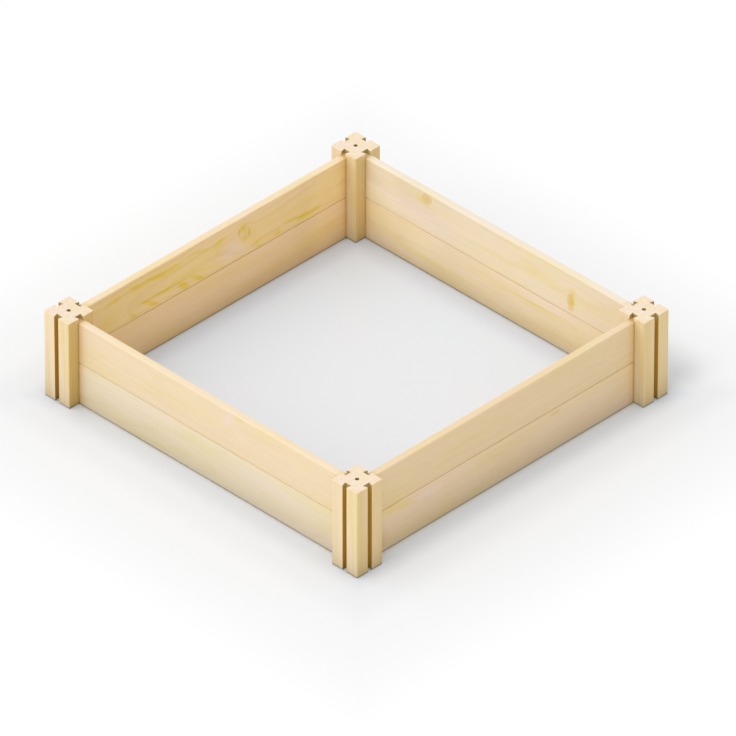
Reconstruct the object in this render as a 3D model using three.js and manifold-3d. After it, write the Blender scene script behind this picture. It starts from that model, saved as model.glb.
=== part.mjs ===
// Raised garden bed, in millimetres, +Z up. Origin: on the ground, in the middle of the bed.
//
// Four square corner posts stand on the ground. Each has a dovetail groove down the middle of all
// four faces. Two boards, one on the other, close each side of the bed. Their ends are dovetail
// tenons, which slide down the posts' grooves, so nothing is nailed or screwed. The upper board's
// lower edge is grooved and sits over a tongue on the lower board.

import * as THREE from 'three';
import { mergeVertices } from 'three/addons/utils/BufferGeometryUtils.js';
import Module from 'manifold-3d';

const manifold = await Module();
manifold.setup();

// ---- Bed ----
const BED_WIDTH = 1000; // over the posts, along X
const BED_DEPTH = 1000; // over the posts, along Y

// ---- Posts ----
const POST_SIDE = 80;
const POST_RISE = 10; // how far a post stands above the upper boards
const POST_CORNER_RADIUS = 2.5; // the four upright arrises
const POST_END_CHAMFER = 1.5; // the arrises round the head and foot
const DOWEL_HOLE_DIAMETER = 10; // stacking hole, in the head and in the foot
const DOWEL_HOLE_DEPTH = 35;
const DRILL_POINT_ANGLE = 118; // degrees, across the cone that a drill leaves

// ---- Dovetail: a groove in a post and a tenon on a board's end ----
const GROOVE_MOUTH = 12.5; // width at the post's face
const GROOVE_DEPTH = 12;
const GROOVE_FLARE = 14; // degrees that each flank leans outwards
const GROOVE_EASE = 0.6; // chamfer on the mouth's arrises
const TENON_CLEARANCE = 0.3; // square to each flank
const TENON_END_GAP = 0.5; // from the tenon's end to the groove's floor
const SHOULDER_GAP = 1; // from the board's shoulder to the post's face

// ---- Boards ----
const BOARD_THICKNESS = 20;
const LOWER_BOARD_HEIGHT = 115; // without its tongue
const UPPER_BOARD_HEIGHT = 110;
const SEAM_CHAMFER = 1.5; // two of these make the V between the boards
const TOP_EDGE_RADIUS = 3; // the two arrises of the upper board's top edge
const TONGUE_THICKNESS = 6.4;
const TONGUE_HEIGHT = 6;
const TONGUE_TAPER = 0.5; // how much each cheek leans in over the tongue's height
const TONGUE_CLEARANCE = 0.4; // beside each cheek
const TONGUE_END_GAP = 1; // above the tongue

// ---- Wood ----
const PINE = { roughness: 0.62, metalness: 0 };
const POST_COLOUR = '#edd8b0';
const LOWER_BOARD_COLOUR = '#ebd5ad';
const UPPER_BOARD_COLOUR = '#f0dcb8';

// ---- Worked out from the above ----
const BOARDS_HEIGHT = LOWER_BOARD_HEIGHT + UPPER_BOARD_HEIGHT;
const POST_HEIGHT = BOARDS_HEIGHT + POST_RISE;
const POST_SPACING_X = BED_WIDTH - POST_SIDE;
const POST_SPACING_Y = BED_DEPTH - POST_SIDE;
const FLARE_SLOPE = Math.tan(THREE.MathUtils.degToRad(GROOVE_FLARE));
const TENON_REACH = GROOVE_DEPTH - TENON_END_GAP; // past the post's face

const ARRIS_FACETS = 6; // on each rounded arris
const DRILL_FACETS = 32;
const OVERSHOOT = 5; // how far a cutter or a trimming prism runs past what it cuts

// ---- Solids ----

function solidFrom(geometry) {
  const bare = geometry.index ? geometry.toNonIndexed() : geometry.clone();
  bare.deleteAttribute('normal');
  bare.deleteAttribute('uv');
  const merged = mergeVertices(bare);
  return new manifold.Manifold(
    new manifold.Mesh({
      numProp: 3,
      vertProperties: merged.attributes.position.array,
      triVerts: new Uint32Array(merged.index.array),
    }),
  );
}

function geometryFrom(solid) {
  const mesh = solid.getMesh();
  const geometry = new THREE.BufferGeometry();
  geometry.setAttribute('position', new THREE.BufferAttribute(mesh.vertProperties, 3));
  geometry.setIndex(new THREE.BufferAttribute(mesh.triVerts, 1));
  const faceted = geometry.toNonIndexed();
  faceted.computeVertexNormals();
  return faceted;
}

// A closed outline raised along +Z from bottom, with both its ends chamfered if asked.
function uprightPrism(outline, bottom, height, endChamfer = 0) {
  const geometry = new THREE.ExtrudeGeometry(new THREE.Shape(outline), {
    depth: height - 2 * endChamfer,
    bevelEnabled: endChamfer > 0,
    bevelSegments: 1,
    bevelThickness: endChamfer,
    bevelSize: endChamfer,
    bevelOffset: -endChamfer,
  });
  return geometry.translate(0, 0, bottom + endChamfer);
}

// A board's section, drawn as (across, up), run along X and centred on the origin.
function lengthwisePrism(section, length) {
  const acrossUpAlong = new THREE.Matrix4().makeBasis(
    new THREE.Vector3(0, 1, 0),
    new THREE.Vector3(0, 0, 1),
    new THREE.Vector3(1, 0, 0),
  );
  return new THREE.ExtrudeGeometry(new THREE.Shape(section), { depth: length, bevelEnabled: false })
    .translate(0, 0, -length / 2)
    .applyMatrix4(acrossUpAlong);
}

// ---- Outlines: lists of points, anticlockwise ----

const at = (x, y) => new THREE.Vector2(x, y);

// A quarter of a circle, from startAngle on.
function quarterArc(x, y, radius, startAngle) {
  return new THREE.ArcCurve(x, y, radius, startAngle, startAngle + Math.PI / 2, false).getPoints(
    ARRIS_FACETS,
  );
}

// The same points on the other side of the Y axis, in the order that carries the outline on.
function mirrored(points) {
  return points.map(({ x, y }) => at(-x, y)).reverse();
}

// ---- Post ----

// Half the groove's width at a depth below the post's face. A negative depth is outside the post.
function grooveHalfWidth(depth) {
  return GROOVE_MOUTH / 2 + depth * FLARE_SLOPE;
}

// The groove's outline in the post's -Y face, from its left lip to its right lip.
function grooveOutline() {
  const face = -POST_SIDE / 2;
  const rightHalf = [
    at(grooveHalfWidth(GROOVE_DEPTH), face + GROOVE_DEPTH),
    at(grooveHalfWidth(GROOVE_EASE), face + GROOVE_EASE),
    at(grooveHalfWidth(0) + GROOVE_EASE, face),
  ];
  return [...mirrored(rightHalf), ...rightHalf];
}

// The post seen from above: what is cut in one face and the corner after it, repeated four times.
function postPlan(cutInFace) {
  const arcCentre = POST_SIDE / 2 - POST_CORNER_RADIUS;
  const corner = quarterArc(arcCentre, -arcCentre, POST_CORNER_RADIUS, -Math.PI / 2);
  const quarter = [...cutInFace, ...corner];
  const middle = at(0, 0);
  const turns = [0, 1, 2, 3].map((side) => (side * Math.PI) / 2);
  return turns.flatMap((turn) => quarter.map((point) => point.clone().rotateAround(middle, turn)));
}

// What a drill takes out of the end grain: a round hole with a cone at its end. It enters at z = 0
// and goes down.
function drilledHole() {
  const radius = DOWEL_HOLE_DIAMETER / 2;
  const cone = radius / Math.tan(THREE.MathUtils.degToRad(DRILL_POINT_ANGLE / 2));
  const profile = [
    at(0, -DOWEL_HOLE_DEPTH - cone),
    at(radius, -DOWEL_HOLE_DEPTH),
    at(radius, OVERSHOOT),
    at(0, OVERSHOOT),
  ];
  // A lathe turns about Y, so it is stood up to turn about Z.
  return new THREE.LatheGeometry(profile, DRILL_FACETS).rotateX(Math.PI / 2);
}

function postGeometry() {
  const block = solidFrom(uprightPrism(postPlan([]), 0, POST_HEIGHT, POST_END_CHAMFER));
  const grooved = solidFrom(
    uprightPrism(postPlan(grooveOutline()), -OVERSHOOT, POST_HEIGHT + 2 * OVERSHOOT),
  );
  const headHole = solidFrom(drilledHole().translate(0, 0, POST_HEIGHT));
  const footHole = solidFrom(drilledHole().rotateX(Math.PI));
  return geometryFrom(block.intersect(grooved).subtract(headHole).subtract(footHole));
}

// ---- Boards ----

// A board's section. The lower edge is always grooved, and the upper edge has a tongue to carry
// the next board, or two rounded arrises where no board follows.
function boardSection(height, hasTongue) {
  const half = BOARD_THICKNESS / 2;
  const rootHalf = TONGUE_THICKNESS / 2;
  const tipHalf = rootHalf - TONGUE_TAPER;
  const lowerEdge = [
    at(tipHalf + TONGUE_CLEARANCE, TONGUE_HEIGHT + TONGUE_END_GAP),
    at(rootHalf + TONGUE_CLEARANCE, 0),
    at(half - SEAM_CHAMFER, 0),
    at(half, SEAM_CHAMFER),
  ];
  const tonguedEdge = [
    at(half, height - SEAM_CHAMFER),
    at(half - SEAM_CHAMFER, height),
    at(rootHalf, height),
    at(tipHalf, height + TONGUE_HEIGHT),
  ];
  const roundedEdge = quarterArc(half - TOP_EDGE_RADIUS, height - TOP_EDGE_RADIUS, TOP_EDGE_RADIUS, 0);
  const rightHalf = [...lowerEdge, ...(hasTongue ? tonguedEdge : roundedEdge)];
  return [...rightHalf, ...mirrored(rightHalf)];
}

// Half the tenon's width at a distance past the post's face, on the same slope as the groove.
function tenonHalfWidth(past) {
  const allowance = TENON_CLEARANCE / Math.cos(THREE.MathUtils.degToRad(GROOVE_FLARE));
  return grooveHalfWidth(past) - allowance;
}

// The board seen from above: full width between its shoulders, with a dovetail tenon at each end.
function boardPlan(clearLength) {
  const fullHalf = BOARD_THICKNESS / 2 + OVERSHOOT;
  const face = clearLength / 2;
  const shoulder = face - SHOULDER_GAP;
  const tip = face + TENON_REACH;
  const rightEnd = [
    at(shoulder, -fullHalf),
    at(shoulder, -tenonHalfWidth(-SHOULDER_GAP)),
    at(tip, -tenonHalfWidth(TENON_REACH)),
    at(tip, tenonHalfWidth(TENON_REACH)),
    at(shoulder, tenonHalfWidth(-SHOULDER_GAP)),
    at(shoulder, fullHalf),
  ];
  return [...rightEnd, ...mirrored(rightEnd)];
}

// A board lies along X with its section's foot at z = 0. Its section gives its faces and edges,
// and its plan gives its length, shoulders and tenons.
function boardGeometry(height, hasTongue, postSpacing) {
  const clearLength = postSpacing - POST_SIDE;
  const milled = solidFrom(lengthwisePrism(boardSection(height, hasTongue), postSpacing));
  const fullHeight = height + (hasTongue ? TONGUE_HEIGHT : 0);
  const outline = solidFrom(
    uprightPrism(boardPlan(clearLength), -OVERSHOOT, fullHeight + 2 * OVERSHOOT),
  );
  return geometryFrom(milled.intersect(outline));
}

// ---- Assembly ----

function pine(colour) {
  return new THREE.MeshStandardMaterial({ color: colour, ...PINE });
}

function piece(name, geometry, colour) {
  const mesh = new THREE.Mesh(geometry, pine(colour));
  mesh.name = name;
  return mesh;
}

const bed = new THREE.Group();

const CORNERS = [
  { name: 'front_left', x: -1, y: -1 },
  { name: 'front_right', x: 1, y: -1 },
  { name: 'back_right', x: 1, y: 1 },
  { name: 'back_left', x: -1, y: 1 },
];
for (const corner of CORNERS) {
  const post = piece(`post_${corner.name}`, postGeometry(), POST_COLOUR);
  post.position.set((corner.x * POST_SPACING_X) / 2, (corner.y * POST_SPACING_Y) / 2, 0);
  bed.add(post);
}

const SIDES = [
  { name: 'front', turn: 0, x: 0, y: -1, postSpacing: POST_SPACING_X },
  { name: 'right', turn: Math.PI / 2, x: 1, y: 0, postSpacing: POST_SPACING_Y },
  { name: 'back', turn: Math.PI, x: 0, y: 1, postSpacing: POST_SPACING_X },
  { name: 'left', turn: -Math.PI / 2, x: -1, y: 0, postSpacing: POST_SPACING_Y },
];
for (const side of SIDES) {
  const wall = new THREE.Group();
  wall.position.set((side.x * POST_SPACING_X) / 2, (side.y * POST_SPACING_Y) / 2, 0);
  wall.rotation.z = side.turn;

  const lower = piece(
    `lower_board_${side.name}`,
    boardGeometry(LOWER_BOARD_HEIGHT, true, side.postSpacing),
    LOWER_BOARD_COLOUR,
  );
  const upper = piece(
    `upper_board_${side.name}`,
    boardGeometry(UPPER_BOARD_HEIGHT, false, side.postSpacing),
    UPPER_BOARD_COLOUR,
  );
  upper.position.z = LOWER_BOARD_HEIGHT;
  wall.add(lower, upper);
  bed.add(wall);
}

export default bed;
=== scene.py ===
# %% [markdown]
# # A raised garden bed, dressed in pine
#
# The bed is a square of four grooved posts with two boards on each side, one on the other. The
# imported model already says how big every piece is, where it stands and how it moves. This lesson
# models each piece again with its rounded arrises and its joints, and gives it wood that was cut
# from a log: growth rings, fibres, knots and resin. Nothing is moved or resized.
#
# Everything is in metres, +Z is up, and the front of the bed faces -Y.

# %% Load the frame
import math

import bmesh
import bpy
from mathutils import Matrix, Vector, noise


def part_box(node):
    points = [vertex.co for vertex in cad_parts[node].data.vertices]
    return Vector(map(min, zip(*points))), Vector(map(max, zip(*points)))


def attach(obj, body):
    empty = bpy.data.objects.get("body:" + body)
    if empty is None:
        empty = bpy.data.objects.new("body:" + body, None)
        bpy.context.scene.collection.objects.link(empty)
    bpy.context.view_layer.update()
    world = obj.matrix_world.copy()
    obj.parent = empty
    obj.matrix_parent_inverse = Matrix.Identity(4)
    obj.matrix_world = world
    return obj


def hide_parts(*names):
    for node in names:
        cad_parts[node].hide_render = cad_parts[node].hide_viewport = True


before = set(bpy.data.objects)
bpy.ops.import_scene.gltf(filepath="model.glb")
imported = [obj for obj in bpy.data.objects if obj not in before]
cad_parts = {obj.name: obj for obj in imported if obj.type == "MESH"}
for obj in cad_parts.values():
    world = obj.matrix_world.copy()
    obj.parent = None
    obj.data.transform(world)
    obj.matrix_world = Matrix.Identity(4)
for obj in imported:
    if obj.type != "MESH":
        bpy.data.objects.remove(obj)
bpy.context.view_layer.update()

# %% [markdown]
# ## Camera
#
# The photograph was taken from far away with a very long lens: opposite sides of the bed stay
# almost parallel. A short lens close by would spread them, so the distance matters as much as the
# angle. The camera looks at the middle of the bed from the front right, and a little above it, so
# the bed sits low in the picture, as it does in the photograph.

# %% Camera
MM = 0.001
CAMERA_AZIMUTH = math.radians(44.82)
CAMERA_ELEVATION = math.radians(35.63)
CAMERA_DISTANCE = 37.5
CAMERA_LENS = 808  # for a sensor 36 wide
AIM_RIGHT = 26.3 * MM
AIM_UP = 59.4 * MM
FARTHEST_SEEN = 80

backward = Vector((
    math.sin(CAMERA_AZIMUTH) * math.cos(CAMERA_ELEVATION),
    -math.cos(CAMERA_AZIMUTH) * math.cos(CAMERA_ELEVATION),
    math.sin(CAMERA_ELEVATION),
))
rightward = Vector((math.cos(CAMERA_AZIMUTH), math.sin(CAMERA_AZIMUTH), 0))
upward = backward.cross(rightward)

scene = bpy.context.scene
camera = bpy.data.objects.new("camera", bpy.data.cameras.new("camera"))
camera.data.lens = CAMERA_LENS
camera.data.clip_end = FARTHEST_SEEN
camera.location = backward * CAMERA_DISTANCE + rightward * AIM_RIGHT + upward * AIM_UP
camera.rotation_euler = backward.to_track_quat("Z", "Y").to_euler()
scene.collection.objects.link(camera)
scene.camera = camera
scene.view_settings.view_transform = "Standard"
print("camera at", tuple(round(c, 2) for c in camera.location))

# %% [markdown]
# ## Helpers for shader nodes
#
# A shader is a chain of small steps. Each helper here adds one node, feeds it with numbers or with
# the outputs of earlier nodes, and returns its output, so that a chain reads from top to bottom.

# %% Small node helpers
def feed(tree, socket, value):
    """Links a socket to another node's output, or writes a plain value on it."""
    if isinstance(value, bpy.types.NodeSocket):
        tree.links.new(value, socket)
    else:
        socket.default_value = value


def add(tree, kind, inputs=(), **settings):
    """Adds a node, say a "Math" one, and returns its outputs. Inputs go by number or by name."""
    step = tree.nodes.new(f"ShaderNode{kind}")
    for name, setting in settings.items():
        setattr(step, name, setting)
    for key, value in inputs.items() if isinstance(inputs, dict) else enumerate(inputs):
        feed(tree, step.inputs[key], value)
    return step.outputs


def calc(tree, operation, *values):
    """One Math node."""
    return add(tree, "Math", values, operation=operation)["Value"]


def calc_vector(tree, operation, *values):
    """One Vector Math node. Its answer is a number for a length or a dot product."""
    is_number = operation in ("LENGTH", "DOT_PRODUCT")
    answers = add(tree, "VectorMath", values, operation=operation)
    return answers["Value" if is_number else "Vector"]


def ease(tree, value, low, high, at_low=0.0, at_high=1.0):
    """A smooth step: at_low below low, at_high above high."""
    inputs = (value, low, high, at_low, at_high)
    return add(tree, "MapRange", inputs, interpolation_type="SMOOTHSTEP")["Result"]


def blend_colour(tree, amount, under, over, how="MIX"):
    """One Mix node for colours."""
    inputs = {"Factor": amount, "A": under, "B": over}
    return add(tree, "Mix", inputs, data_type="RGBA", blend_type=how)["Result"]


def split(tree, vector):
    """A vector's parts, as outputs named X, Y and Z."""
    return add(tree, "SeparateXYZ", [vector])


def ramp(tree, value, stops):
    """A colour that goes smoothly from stop to stop. Each stop is a value and a colour."""
    colour = (*stops[0][1], 1.0)
    for (low, _), (high, next_colour) in zip(stops, stops[1:]):
        colour = blend_colour(tree, ease(tree, value, low, high), colour, (*next_colour, 1.0))
    return colour


def grainy(tree, vector, stretch, detail=2.0, roughness=0.5):
    """Noise from 0 to 1. Stretch is how many bumps there are to the metre, along x, y and z."""
    scaled = calc_vector(tree, "MULTIPLY", vector, stretch)
    inputs = {"Vector": scaled, "Scale": 1.0, "Detail": detail, "Roughness": roughness}
    return add(tree, "TexNoise", inputs)["Fac"]


def seen_colour(red, green, blue):
    """A colour as it looks on a screen, 0 to 255, turned into the linear values that light uses."""
    linear = []
    for part in (red, green, blue):
        share = part / 255
        linear.append(share / 12.92 if share <= 0.04045 else ((share + 0.055) / 1.055) ** 2.4)
    return (*linear, 1.0)


# %% [markdown]
# ## Floor and light
#
# The bed stands in a white studio, on a sheet that is lit from below as well. What the camera sees
# of the sheet is therefore partly its own glow and partly the light that falls on it, and only the
# second part can be shaded: that is why a studio's shadows are so soft. The glow grows away from
# the bed, so the picture ends in plain white without a horizon, and its lower glow near the bed is
# a painted soft shadow. Right beside the boards the glow is painted dim and warm, a painted contact
# shadow with the wood's warm bounce painted in, and on the ground behind the bed, away from the
# sun, both parts are painted darker: a painted shadow.
#
# What the sheet throws back at the wood is set apart from what is seen of it. It is least by the
# boards' feet, so the boards darken towards the ground.
#
# The light is a white sky, which fills every groove a little, and one very broad sun from the left
# of the picture, which leaves the faces to the right in soft shade.

# %% Floor
FLOOR_SIZE = 60
FLOOR_DROP = 0.2 * MM
BOARD_LINE = 0.46  # from the middle of the bed to the middle of its boards
# Each stop is how far it is outside the boards' line, then a colour.
SHADED = (
    (-0.10, (0.70, 0.70, 0.70)),
    (-0.03, (0.69, 0.67, 0.72)),
    (0.03, (0.69, 0.67, 0.70)),
    (0.10, (0.45, 0.45, 0.45)),
    (0.20, (0.40, 0.40, 0.40)),
)
# The glow is low near the bed and lowest right beside the boards: a painted soft shadow and a
# painted contact shadow. Right beside them it is warm, a painted warm bounce from the wood, and
# inside the bed it is a little blue, a painted tint against that bounce.
GLOW_WITH_PAINTED_SHADE = (
    (-0.30, (0.117, 0.131, 0.166)),
    (-0.08, (0.092, 0.140, 0.195)),
    (-0.022, (0.016, 0.075, 0.098)),
    (-0.010, (0.018, 0.040, 0.030)),
    (0.010, (0.055, 0.060, 0.020)),
    (0.022, (0.045, 0.090, 0.105)),
    (0.030, (0.045, 0.090, 0.105)),
    (0.10, (0.404, 0.414, 0.430)),
    (0.20, (0.512, 0.516, 0.523)),
    (0.60, (0.600, 0.600, 0.600)),
)
# Two distances outside the boards' line, and the share thrown back at each.
THROWN_BACK_INSIDE = (-0.12, -0.04, 1.00, 0.18)
THROWN_BACK_OUTSIDE = (0.05, 0.14, 0.16, 0.84)
# A painted shadow on the ground behind the bed, away from the sun: how much darker it gets, where
# it starts and ends, and how far it reaches to each side.
BEHIND_PAINTED_SHADOW = 0.25
BEHIND_STARTS = (0.455, 0.475)
BEHIND_ENDS = (0.55, 0.70)
BEHIND_SIDES = (0.45, 0.54)
BLACK = (0, 0, 0, 1)
WHITE = (1, 1, 1, 1)

floor_mesh = bmesh.new()
bmesh.ops.create_grid(floor_mesh, x_segments=1, y_segments=1, size=FLOOR_SIZE / 2)
bmesh.ops.translate(floor_mesh, verts=floor_mesh.verts, vec=(0, 0, -FLOOR_DROP))
floor = bpy.data.objects.new("floor", bpy.data.meshes.new("floor"))
floor_mesh.to_mesh(floor.data)
floor_mesh.free()
scene.collection.objects.link(floor)

floor_finish = bpy.data.materials.new("studio_floor")
floor_finish.use_nodes = True
tree = floor_finish.node_tree
tree.nodes.clear()
place = add(tree, "TexCoord")["Object"]
away = split(tree, calc_vector(tree, "ABSOLUTE", place))
squarely_out = calc(tree, "MAXIMUM", away["X"], away["Y"])
past_boards = calc(tree, "SUBTRACT", squarely_out, BOARD_LINE)
back = split(tree, place)["Y"]
# Both the seen shading and the glow are painted darker behind the bed: a painted shadow.
painted_shadow_behind = ease(tree, back, *BEHIND_ENDS, BEHIND_PAINTED_SHADOW, 0.0)
painted_shadow_behind = calc(tree, "MULTIPLY", painted_shadow_behind, ease(tree, back, *BEHIND_STARTS))
painted_shadow_behind = calc(tree, "MULTIPLY", painted_shadow_behind, ease(tree, away["X"], *BEHIND_SIDES, 1.0, 0.0))
shaded = blend_colour(tree, painted_shadow_behind, ramp(tree, past_boards, SHADED), BLACK)
glow_with_painted_shade = blend_colour(tree, painted_shadow_behind, ramp(tree, past_boards, GLOW_WITH_PAINTED_SHADE), BLACK)
inside = ease(tree, past_boards, *THROWN_BACK_INSIDE)
outside = ease(tree, past_boards, *THROWN_BACK_OUTSIDE)
is_outside = calc(tree, "GREATER_THAN", past_boards, 0.0)
thrown_back = blend_colour(tree, is_outside, inside, outside)
is_seen = add(tree, "LightPath")["Is Camera Ray"]
shade = blend_colour(tree, is_seen, thrown_back, shaded)
matt = add(tree, "BsdfDiffuse", {"Color": shade})["BSDF"]
backlight = add(tree, "Emission", {"Color": glow_with_painted_shade, "Strength": is_seen})["Emission"]
both = add(tree, "AddShader", [matt, backlight])["Shader"]
add(tree, "OutputMaterial", {"Surface": both})
floor.data.materials.append(floor_finish)

# %% Light
SKY_STRENGTH = 0.85
BACKDROP_STRENGTH = 1.0
SUN_STRENGTH = 1.0
SUN_SOFTNESS = math.radians(80)
SUN_FROM = Vector((-0.50, -0.80, 1.0))

sun = bpy.data.objects.new("sun", bpy.data.lights.new("sun", "SUN"))
sun.data.energy = SUN_STRENGTH
sun.data.angle = SUN_SOFTNESS
sun.rotation_euler = SUN_FROM.to_track_quat("Z", "Y").to_euler()
scene.collection.objects.link(sun)

studio = bpy.data.worlds.new("studio")
scene.world = studio
studio.use_nodes = True
tree = studio.node_tree
tree.nodes.clear()
ray = add(tree, "LightPath")
seen = calc(tree, "MAXIMUM", ray["Is Camera Ray"], ray["Is Glossy Ray"])
seen = calc(tree, "MAXIMUM", seen, ray["Is Transmission Ray"])
sky, backdrop = [
    add(tree, "Background", {"Color": WHITE, "Strength": strength})["Background"]
    for strength in (SKY_STRENGTH, BACKDROP_STRENGTH)
]
choice = add(tree, "MixShader", [seen, sky, backdrop])["Shader"]
add(tree, "OutputWorld", {"Surface": choice})
print("sky", SKY_STRENGTH, "and sun", SUN_STRENGTH)

# %% [markdown]
# ## Wood, step by step
#
# A board is a thin slice of a log, so its pattern isn't painted on it: it is where the slice cuts
# the log's rings. Each group below works in the grain's own directions: x runs along the grain, y
# through the board and z up its face. A group puts out masks from 0 to 1, and the material
# decides what colour, shine and relief they make.

# %% Making a node group
def start_group(name, vectors, numbers, results):
    """An empty group, from the names of its inputs and of the numbers that it puts out."""
    group = bpy.data.node_groups.new(name, "ShaderNodeTree")
    for names, way, kind in (
        (vectors, "INPUT", "Vector"), (numbers, "INPUT", "Float"), (results, "OUTPUT", "Float")
    ):
        for socket in names:
            group.interface.new_socket(socket, in_out=way, socket_type=f"NodeSocket{kind}")
    given = group.nodes.new("NodeGroupInput").outputs
    result = group.nodes.new("NodeGroupOutput").inputs
    return group, given, result


def use_group(tree, group, **values):
    """Places a group in a tree. A socket "Ring Width" is given as ring_width."""
    inputs = {name.replace("_", " ").title(): value for name, value in values.items()}
    return add(tree, "Group", inputs, node_tree=group)


# %% [markdown]
# ### Growth rings
#
# A ring is pale in spring and darkens slowly through summer, then stops sharply where winter
# came. So the mask rises across each ring and falls back at once. The distance is measured from
# the log's heart. The log wanders and tapers a little, which is what draws long arches on a board
# that was cut beside the heart.

# %% Growth rings
WANDER_STRETCH = (3.2, 9.0, 9.0)
LATE_STARTS = 0.45
LATE_ENDS = 0.93

log_rings, given, result = start_group(
    "log_rings", ["Grain", "Heart"], ["Ring Width", "Taper", "Wander"], ["Late", "Tone"]
)
tree = log_rings
from_heart = calc_vector(tree, "SUBTRACT", given["Grain"], given["Heart"])
across = calc_vector(tree, "MULTIPLY", from_heart, (0, 1, 1))
radius = calc_vector(tree, "LENGTH", across)
along_log = split(tree, from_heart)["X"]
tapered = calc(tree, "MULTIPLY_ADD", along_log, given["Taper"], radius)
drift = grainy(tree, from_heart, WANDER_STRETCH, detail=1.5)
drift = calc(tree, "SUBTRACT", drift, 0.5)
wandering = calc(tree, "MULTIPLY_ADD", drift, given["Wander"], tapered)
years = calc(tree, "DIVIDE", wandering, given["Ring Width"])
year = calc(tree, "FLOOR", years)
season = calc(tree, "FRACT", years)
summer = ease(tree, season, LATE_STARTS, LATE_ENDS)
winter = ease(tree, season, LATE_ENDS, 1.0, 1.0, 0.0)
feed(tree, result["Late"], calc(tree, "MULTIPLY", summer, winter))
weather = add(tree, "TexWhiteNoise", {"W": year}, noise_dimensions="1D")["Value"]
feed(tree, result["Tone"], weather)
print("growth rings:", len(tree.nodes), "nodes")

# %% [markdown]
# ### Fibres
#
# Wood fibres are long and very thin. Two layers of noise, each stretched hard along the grain,
# stand for the silky fibres and for the wider bands between them. A third layer keeps only its
# highest crests: these are the resin canals, short brown dashes that a plane has cut open.

# %% Fibres
SILK_STRETCH = (22, 1300, 1300)
BAND_STRETCH = (3, 130, 130)
CANAL_STRETCH = (120, 2600, 2600)
CANAL_CRESTS = (0.66, 0.74)

wood_fibre, given, result = start_group("wood_fibre", ["Grain"], [], ["Silk", "Bands", "Canals"])
tree = wood_fibre
silk = grainy(tree, given["Grain"], SILK_STRETCH, detail=3.0, roughness=0.6)
bands = grainy(tree, given["Grain"], BAND_STRETCH)
canals = grainy(tree, given["Grain"], CANAL_STRETCH, detail=1.0)
feed(tree, result["Silk"], silk)
feed(tree, result["Bands"], bands)
feed(tree, result["Canals"], ease(tree, canals, *CANAL_CRESTS))

# %% [markdown]
# ### Knots
#
# A knot is the root of a branch, so it runs out from the heart and shows on both faces. It is a
# dark oval with a thin darker collar. The trunk had to grow round it, so the grain parts there.
# The group also says how far the grain's coordinates have to be shifted, and the rings and fibres
# that are drawn with the shifted ones bend round the knot.

# %% Knots
PARTING_REACH = (0.3, 2.6)  # in knot radii, like the edges below
PARTING = 0.75
WOBBLE_STRETCH = (70, 40, 110)
WOBBLE = 0.7
BODY_EDGE = (0.35, 1.15)
COLLAR_INNER_EDGE = (0.66, 0.86)
COLLAR_OUTER_EDGE = (0.88, 1.10)
SWIRL_RATE = 19.0
SWIRL_CRESTS = (-0.6, 1.0)


def measure_spot(tree, given):
    """How far a point is from a spot's middle, in metres and in the spot's own turned radii."""
    offset = calc_vector(tree, "SUBTRACT", given["Grain"], given["Place"])
    inputs = {"Vector": offset, "Angle": given["Turn"]}
    turned = add(tree, "VectorRotate", inputs, rotation_type="Y_AXIS")["Vector"]
    return offset, calc_vector(tree, "DIVIDE", turned, given["Size"])


branch_knot, given, result = start_group(
    "branch_knot", ["Grain", "Place", "Size"], ["Turn"], ["Body", "Collar", "Swirl", "Bend"]
)
tree = branch_knot
offset, in_radii = measure_spot(tree, given)
in_face = calc_vector(tree, "MULTIPLY", in_radii, (1, 0, 1))
plain_distance = calc_vector(tree, "LENGTH", in_face)
wobble = grainy(tree, given["Grain"], WOBBLE_STRETCH)
wobble = calc(tree, "SUBTRACT", wobble, 0.5)
distance = calc(tree, "MULTIPLY_ADD", wobble, WOBBLE, plain_distance)
feed(tree, result["Body"], ease(tree, distance, *BODY_EDGE, 1.0, 0.0))
rising = ease(tree, distance, *COLLAR_INNER_EDGE)
falling = ease(tree, distance, *COLLAR_OUTER_EDGE, 1.0, 0.0)
feed(tree, result["Collar"], calc(tree, "MULTIPLY", rising, falling))
swirl = calc(tree, "SINE", calc(tree, "MULTIPLY", distance, SWIRL_RATE))
feed(tree, result["Swirl"], ease(tree, swirl, *SWIRL_CRESTS))
nearness = ease(tree, plain_distance, *PARTING_REACH, PARTING, 0.0)
parted = calc(tree, "MULTIPLY", split(tree, offset)["Z"], nearness)
feed(tree, result["Bend"], calc(tree, "MULTIPLY", parted, -1.0))

# %% [markdown]
# ### Soft patches
#
# Some boards carry yellow flames, where resin has soaked the wood, and others a pale, pinkish or
# milky place. Light spots at the boards' ends in the back left corner are painted light that lifts
# the shade there, and one brown spot beside a post is painted shade. All of them are soft spots,
# long in the grain's direction, with a ragged edge. One group draws such a spot at a place, with a
# size and a tilt, and is used many times with other values and tints.

# %% Soft patch
FRINGE_STRETCH = (14, 60, 170)
PATCH_EDGE = (0.30, 1.15)  # in patch radii

soft_patch, given, result = start_group(
    "soft_patch", ["Grain", "Place", "Size"], ["Turn", "Ragged"], ["Mask"]
)
tree = soft_patch
_, in_radii = measure_spot(tree, given)
distance = calc_vector(tree, "LENGTH", in_radii)
fringe = grainy(tree, given["Grain"], FRINGE_STRETCH, detail=3.0, roughness=0.6)
fringe = calc(tree, "SUBTRACT", fringe, 0.5)
ragged = calc(tree, "MULTIPLY_ADD", fringe, given["Ragged"], distance)
feed(tree, result["Mask"], ease(tree, ragged, *PATCH_EDGE, 1.0, 0.0))

# %% [markdown]
# ### Painted highlight on the arrises
#
# Along the arrises the wood is painted a little paler, a painted highlight along their roundings,
# and it is duller. On a piece that is close to a box, a point is near an edge when it is near two
# of the box's sides at once. Of the three distances to the sides, that is the middle one.

# %% Painted highlight on the arrises
CHIP_STRETCH = (60, 400, 400)
CHIP_EDGES = (0.3, 0.7)
NARROWEST, WIDEST = 0.4, 1.6  # shares of the given width

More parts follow.
